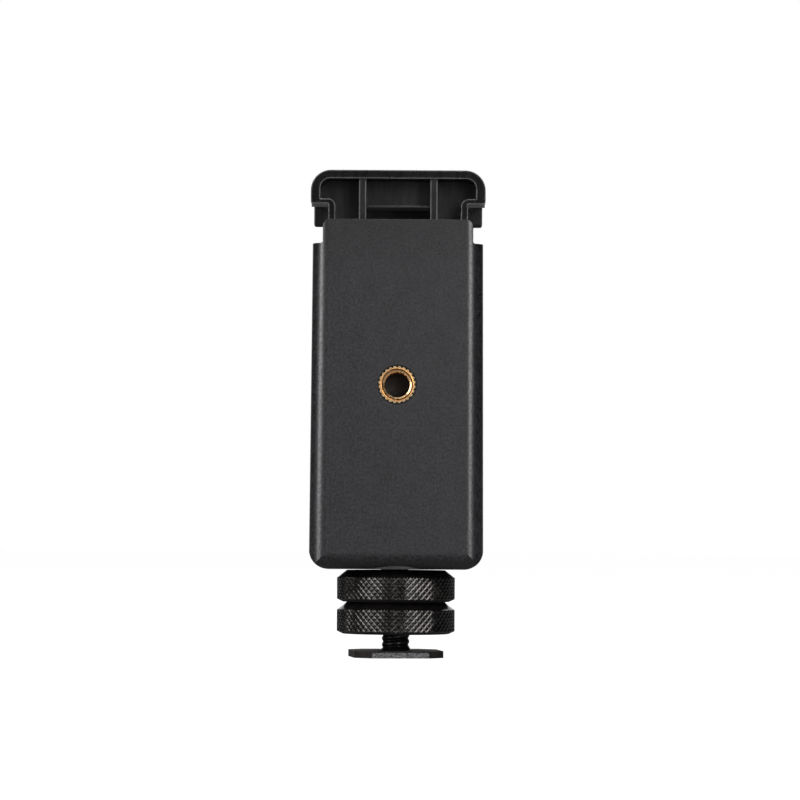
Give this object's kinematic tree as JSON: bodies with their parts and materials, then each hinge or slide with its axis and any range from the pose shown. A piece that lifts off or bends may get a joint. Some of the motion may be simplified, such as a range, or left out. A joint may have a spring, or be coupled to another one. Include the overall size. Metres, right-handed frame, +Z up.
{
  "type": "tripod phone mount adapter",
  "caption": "Spring-loaded phone clip with ribbed rubber jaws and brass thread inserts, screwed to a camera shoe foot with knurled lock nuts.",
  "frame": {"origin": "on the stud's axis, at the underside of the shoe foot", "axes": "+Z up along the stud, -Y out of the clip's flat back and its rear thread, +X across the clip"},
  "size_m": [0.0352, 0.0277, 0.0982],
  "materials": {
    "housing_plastic": "fine grained moulding",
    "cover_plastic": "fine grained moulding",
    "slider_plastic": "smooth moulding",
    "pad_rubber": "matt",
    "jaw_rubber": "ribbed",
    "insert_brass": "turned",
    "spring_steel": "drawn wire",
    "screw_steel": "plated",
    "nut_aluminium": "black anodised, diamond knurl",
    "stud_steel": "blackened",
    "foot_steel": "black satin"
  },
  "bodies": {
    "adapter_base": {"stud": "stud_steel", "shoe_foot": "foot_steel"},
    "clip_body": {"rear_housing": "housing_plastic", "front_cover": "cover_plastic", "front_pad": "pad_rubber", "cover_screws": "screw_steel", "lower_jaw_pad": "jaw_rubber", "rear_insert": "insert_brass", "bottom_insert": "insert_brass", "left_spring": "spring_steel", "right_spring": "spring_steel"},
    "sliding_jaw": {"slider": "slider_plastic", "upper_jaw_pad": "jaw_rubber"},
    "upper_lock_nut": {"upper_nut": "nut_aluminium"},
    "lower_lock_nut": {"lower_nut": "nut_aluminium"}
  },
  "joints": [
    {"name": "clip_swivel", "type": "hinge", "parent": "adapter_base", "child": "clip_body", "pos_m": [0, 0, 0.0179], "axis": [0, 0, 1], "continuous": true},
    {"name": "jaw_slide", "type": "slide", "parent": "clip_body", "child": "sliding_jaw", "axis": [0, 0, 1], "range_m": [-0.0078, 0.015], "deforming": ["left_spring", "right_spring"]},
    {"name": "upper_nut_spin", "type": "hinge", "parent": "adapter_base", "child": "upper_lock_nut", "pos_m": [0, 0, 0.01445], "axis": [0, 0, 1], "continuous": true},
    {"name": "lower_nut_spin", "type": "hinge", "parent": "adapter_base", "child": "lower_lock_nut", "pos_m": [0, 0, 0.00795], "axis": [0, 0, 1], "continuous": true}
  ]
}
